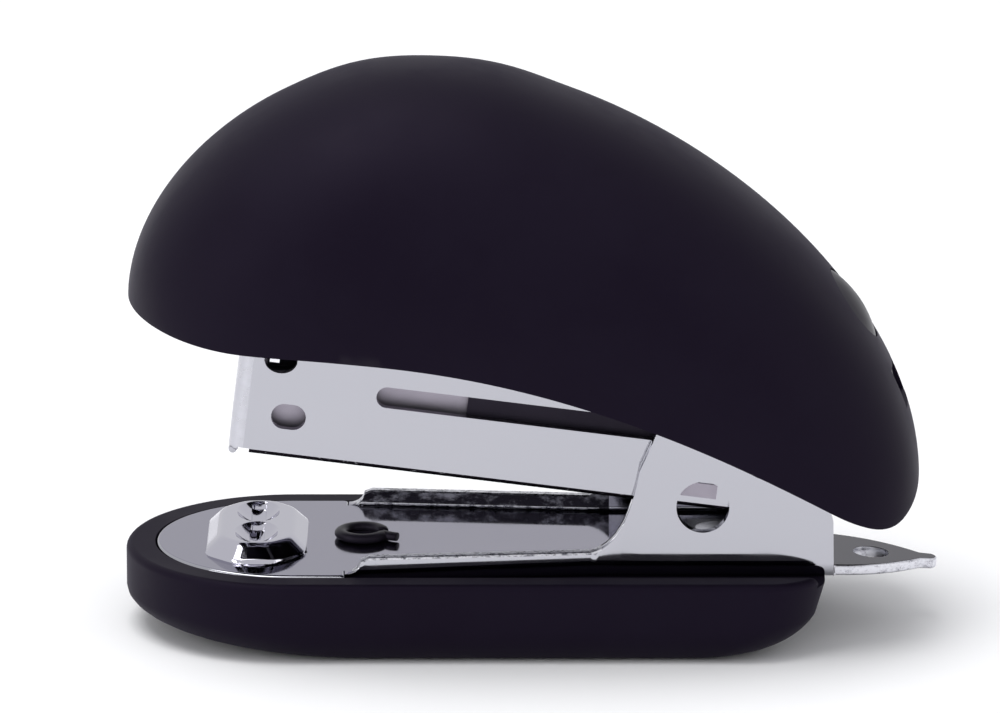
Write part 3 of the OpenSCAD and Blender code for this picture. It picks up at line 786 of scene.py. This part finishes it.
def make_clip():
    """Split ring of black nylon: an open curl that lies on the plate, on a hollow split stem."""
    path = []
    for i in range(45):
        a = math.radians(-18 - 330 * i / 44)
        r = 1.80 - 0.05 * (i / 44)
        path.append((clip_x + r * math.cos(a), r * math.sin(a), plate_top + 0.40))
    tail = [(clip_x + 2.9, -1.25, plate_top + 0.42), (clip_x + 2.3, -1.0, plate_top + 0.42)]
    ring = swept_tube(tail + path, 0.56, 14, lambda t: min(1, 0.84 + 2 * t, 0.8 + 6 * (1 - t)))
    set_places(ring, lambda co: (co.x / MM, co.y / MM,
                                 plate_top + 0.02 + max(0, (co.z / MM - plate_top + 0.14)) * 0.74))
    stem = tube_cutter((clip_x, 0, (2.8 + plate_top + 0.2) / 2), (0, 0, 1), 1.7, plate_top - 2.6)
    bake_place(stem)
    cut(stem, tube_cutter((clip_x, 0, 5), (0, 0, 1), 1.2, 12))
    cut(stem, box_cutter((clip_x, -0.25, 0), (clip_x + 3, 0.25, 10)))
    join_to(ring, stem)
    soften(ring, 0.05, 2, 60)
    return settle(ring, "plate_clip_ring", "base", BLACK_NYLON, ["plate_clip"], 50)


make_clip()


TONGUE_T = 0.9


def make_tongue():
    """Staple remover: a tapered blade with a hole and a flat tail under the plate."""
    start = pivot_x + 5.6
    outline = [(-0.3, 4.5), (-0.3, -4.5)] + bezier((0, -4.5), (3.87, -4.0), (7.2, -0.9), 16)
    outline += arc(7.7, 0, 0.9, 0.9, -60, 60, 12) + bezier((7.2, 0.9), (3.87, 4.0), (0, 4.5), 16)
    blade = prism(outline, -TONGUE_T, 0)
    soften(blade, 0.2, 4, 50)
    cut(blade, tube_cutter((3.1, 0, 0), (0, 0, 1), 1.45, 4, 64))
    soften(blade, 0.07, 2, 60)
    tilt_at(blade, (start, 0, plate_bottom), 4.2)
    flat = box_cutter((pivot_x - 7, -4.5, plate_bottom - TONGUE_T), (start, 4.5, plate_bottom))
    bake_place(flat)
    soften(flat, 0.08, 2, 50)
    for x in rivet_xs:
        cut(flat, tube_cutter((x, 0, plate_bottom), (0, 0, 1), RIVET_R, 4))
    join_to(blade, flat)
    # Blade painted near-black as a painted reflection of the dark head; its side faces get worn_edge
    settle(blade, "remover_tongue", "base", [BLADE_PAINTED_DARK_REFLECTION, WORN_EDGE], ["staple_remover"], 45)
    paint_faces(blade, 1, lambda c, n: n.z < 0.85 and n.z > -0.8)
    return blade


make_tongue()


# ---------------------------------------------------------------- magazine

# The magazine's own frame: origin on the pivot, X along its floor
CHANNEL_OUT = channel_high[1]
CHANNEL_BOTTOM, CHANNEL_TOP, CHANNEL_REAR = -6.5, 3.4, 5.5
HOLE_R, SLOT_R = 1.06, 0.88
rest_cos, rest_sin = math.cos(math.radians(REST_TILT)), math.sin(math.radians(REST_TILT))
NOTCH_HALF = 1.35
front = (channel_low[0] - pivot_x + 6.75 * rest_sin) / rest_cos


def channel_plan(half, x0, rear, r):
    return ([(rear, half)] + arc(x0 + r, half - r, r, r, 90, 180, 10)
            + arc(x0 + r, r - half, r, r, 180, 270, 10) + [(rear, -half)])


def cross_slot(x0, x1, z, r, half=10):
    """Cutter with round ends along X that goes right across the magazine."""
    return side_prism(arc(x1 - r, z, r, r, -90, 90, 16) + arc(x0 + r, z, r, r, 90, 270, 16), half)


def make_magazine_channel():
    def ring(z, inset):
        plan = channel_plan(CHANNEL_OUT - inset, front + inset, CHANNEL_REAR, 1.4 - inset)
        return outline_ring(plan, z)

    rings = [ring(CHANNEL_BOTTOM + rise, inset)
             for rise, inset in ((0, 0.4), (0.06, 0.2), (0.2, 0.06), (0.4, 0))]
    tray = loft(rings + [ring(CHANNEL_TOP - 0.08, 0), ring(CHANNEL_TOP, 0.08)])
    inner = CHANNEL_OUT - CHANNEL_T
    cut(tray, prism(channel_plan(inner, front + CHANNEL_T, CHANNEL_REAR + 3, 0.6),
                    CHANNEL_BOTTOM + CHANNEL_T, CHANNEL_TOP + 3))
    cut(tray, side_prism([(-2.5, CHANNEL_TOP), (CHANNEL_REAR + 0.1, -0.55),
                          (CHANNEL_REAR + 2, 8), (-2.5, 8)], 10))
    cut(tray, box_cutter((front + CHANNEL_T, -inner, CHANNEL_BOTTOM - 1),
                         (front + 2.2, inner, CHANNEL_BOTTOM + 2)))
    # The front bend stops short of the floor at its corners
    for low_y, high_y in ((-9, -6.5), (6.5, 9)):
        cut(tray, box_cutter((front + 0.7, low_y, CHANNEL_BOTTOM - 1),
                             (front + 1.7, high_y, CHANNEL_BOTTOM + 0.42)))
    notch_start, notch_end = front + 2.05, front + 4.75
    cut(tray, side_prism([(notch_start, CHANNEL_TOP + 1), (notch_start, CHANNEL_TOP - 1.9)]
                         + arc(front + 3.4, CHANNEL_TOP - 1.7, NOTCH_HALF, 1.1, 190, 350, 16)
                         + [(notch_end, CHANNEL_TOP - 1.9), (notch_end, CHANNEL_TOP + 1)], 10))
    cut(tray, cross_slot(front + 3.15, front + 6.0, CHANNEL_BOTTOM + 3.5, HOLE_R))
    cut(tray, cross_slot(front + 11.5, -6, -0.36, SLOT_R))
    cut(tray, tube_cutter((0, 0, 0), (0, 1, 0), PIN_R, 20, 64))
    cut(tray, box_cutter((-6.65, -10, -5.55), (-3.75, 10, -4.35)))
    lip = tube_cutter((front + 0.36, 0, CHANNEL_BOTTOM + 0.02), (0, 1, 0), 0.34, 13.4, 20)
    bake_place(lip)
    soften(lip, 0.08, 2, 50)
    soften(tray, 0.06, 2, 50)
    join_to(tray, lip)
    settle(tray, "magazine_sheet", "magazine", [CHROME, BEND_PAINTED_DARK_REFLECTION, CHROME_INSIDE_SHADED, FRONT_PAINTED_HIGHLIGHT],
           ["magazine_channel"], 40)
    # Bottom bend of the magazine's sides: painted dark reflection with bright flecks
    paint_faces(tray, 1, lambda c, n: abs(c.y) > inner and c.x > front + 1.6
                and CHANNEL_BOTTOM - 0.05 < c.z < CHANNEL_BOTTOM + 0.37)
    # Inside faces of the magazine: darker chrome as painted shade
    paint_faces(tray, 2, lambda c, n: c.x > front + 1.5 and c.z > CHANNEL_BOTTOM + CHANNEL_T and (
        abs(c.y) < inner + 0.02 and abs(n.y) > 0.5 or abs(n.y) < 0.3))
    # Front face of the magazine: painted highlight with fine speckles
    paint_faces(tray, 3, lambda c, n: n.x < -0.2 and c.x < front + 1.45)
    tilt_at(tray, PIVOT, REST_TILT)
    return tray


make_magazine_channel()


def coil_path(length, radius, turns, wire, steps=20):
    count = turns * steps
    return [(wire + (length - 2 * wire) * i / count, radius * math.cos(2 * math.pi * i / steps),
             radius * math.sin(2 * math.pi * i / steps)) for i in range(count + 1)]


def make_follower_spring():
    start = front + 23.1
    coil = swept_tube(coil_path(5 - start, 1.0, 22, 0.2), 0.2, 8)
    set_places(coil, lambda co: (co.x / MM + start, co.y / MM, co.z / MM + 1.9))
    tilt_at(coil, PIVOT, REST_TILT)
    settle(coil, "follower_coil", None, SPRING_STEEL, ["follower_spring"], 60)
    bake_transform(coil)


make_follower_spring()


def leaf(path, half, thickness):
    """Flat spring whose middle line is a path in X and Z."""
    rings = []
    for i, (x, z) in enumerate(path):
        (x0, z0), (x1, z1) = path[max(i - 1, 0)], path[min(i + 1, len(path) - 1)]
        run = math.hypot(x1 - x0, z1 - z0)
        up_x, up_z = -(z1 - z0) / run * thickness / 2, (x1 - x0) / run * thickness / 2
        rings.append([(x - up_x, -half, z - up_z), (x - up_x, half, z - up_z),
                      (x + up_x, half, z + up_z), (x + up_x, -half, z + up_z)])
    return loft(rings)


def make_lift_spring():
    t, loop_r = 0.4, 1.4
    loop_x, loop_z = pivot_x + 3, plate_top + loop_r
    tip = (pivot_x - 9.7, pivot_z + 9.7 * math.tan(math.radians(REST_TILT)) - 6.5 / rest_cos - 0.03 - t / 2)
    path = line((pivot_x - 6.5, plate_top + t / 2), (loop_x - 0.1, plate_top + t / 2), 8)
    path += arc(loop_x, loop_z, loop_r - t / 2, loop_r - t / 2, -90, 90, 14)
    path += line(path[-1], tip, 14)[1:]
    spring = leaf(path, 4, t)
    for x in rivet_xs:
        cut(spring, tube_cutter((x, 0, plate_top), (0, 0, 1), RIVET_R, 2))
    soften(spring, 0.07, 2, 50)
    settle(spring, "lift_leaf", None, SPRING_STEEL, ["lift_spring"], 40)
    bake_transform(spring)


make_lift_spring()


def make_return_spring():
    t, half = 0.35, CHANNEL_OUT - 0.2
    knee, tip = (-8.23, 5.13), (-24, CHANNEL_TOP + t / 2 + 0.03)
    path = line((-2.33, 4.09), (knee[0] + 0.3, knee[1] - 0.05), 6) + [knee]
    path += line((knee[0] - 0.3, knee[1] - 0.04), tip, 20)
    spring = leaf(path, half, t)
    cut(spring, box_cutter((-22.5, 1.6 - half, CHANNEL_TOP - 1),
                           (knee[0] - 1.5, half - 1.6, CHANNEL_TOP + 4)))
    soften(spring, 0.06, 2, 50)
    tilt_at(spring, PIVOT, REST_TILT)
    settle(spring, "return_leaf", None, SPRING_STEEL, ["return_spring"], 40)
    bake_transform(spring)


make_return_spring()


# ---------------------------------------------------------------- pieces that keep their shape

FINISH = {
    BRIGHT_CHROME: ["rod_bracket"],
    RAIL_SATIN: ["staple_rail"],
    DULL_PLATE: ["rod_anchor", "guide_rod", "pivot_rivets", "remover_rivets", "driver_rivets",
                 "frame_screws"],
    BLADE_STEEL: ["driver_blade"],
    BLACK_NYLON: ["staple_follower"],
    GLOSS_BLACK: ["spine_inlay", "tail_bar"],
    BLACK_OXIDE: ["head_frame"],
}
for finish, names in FINISH.items():
    for name in names:
        nodes[name].data.materials.clear()
        nodes[name].data.materials.append(finish)


# ---------------------------------------------------------------- studio

def make_studio():
    deselect()
    bpy.ops.mesh.primitive_plane_add(size=3, location=(0, 0.2, -0.0001))
    floor = bpy.context.object
    floor.name = "studio_floor"
    paper, tree, shader = new_material("studio_paper", Roughness=0.9, Specular_IOR_Level=0.1)
    weave = noise_node(tree, 60.0, 4.0)
    tree.links.new(object_place(tree), weave.inputs["Vector"])
    tree.links.new(blend_colours(tree, weave.outputs["Fac"], (0.93, 0.93, 0.94), (0.97, 0.97, 0.975)),
                   shader.inputs["Base Color"])
    floor.data.materials.append(paper)

    world = bpy.data.worlds.new("studio_air")
    world.use_nodes = True
    world.node_tree.nodes["Background"].inputs["Color"].default_value = (0.97, 0.975, 1.0, 1)
    world.node_tree.nodes["Background"].inputs["Strength"].default_value = 0.72
    bpy.context.scene.world = world

    def softbox(name, place, size, power, tint=(1, 1, 1)):
        light = bpy.data.lights.new(name, "AREA")
        light.shape = "RECTANGLE"
        light.size, light.size_y = size
        light.energy, light.color = power, tint
        obj = bpy.data.objects.new(name, light)
        bpy.context.collection.objects.link(obj)
        obj.location = place
        obj.rotation_euler = (Vector((0, 0, 0.02)) - Vector(place)).to_track_quat("-Z", "Y").to_euler()

    softbox("top_box", (-0.15, -0.05, 0.6), (0.5, 0.4), 2.2)
    softbox("left_box", (-0.6, -0.35, 0.25), (0.35, 0.35), 0.8)
    softbox("right_box", (0.6, -0.3, 0.25), (0.3, 0.35), 0.3)


def make_camera():
    pitch, distance = math.radians(15.8), 0.701
    target = Vector((0.0021, 0, 0.0225))
    camera = bpy.data.cameras.new("camera")
    camera.sensor_width, camera.lens = 36, 306
    camera.clip_start, camera.clip_end = 0.05, 20
    obj = bpy.data.objects.new("camera", camera)
    bpy.context.collection.objects.link(obj)
    obj.location = target + distance * Vector((0, -math.cos(pitch), math.sin(pitch)))
    obj.rotation_euler = (math.pi / 2 - pitch, 0, 0)
    bpy.context.scene.camera = obj
    bpy.context.scene.view_settings.view_transform = "Standard"


make_studio()
make_camera()
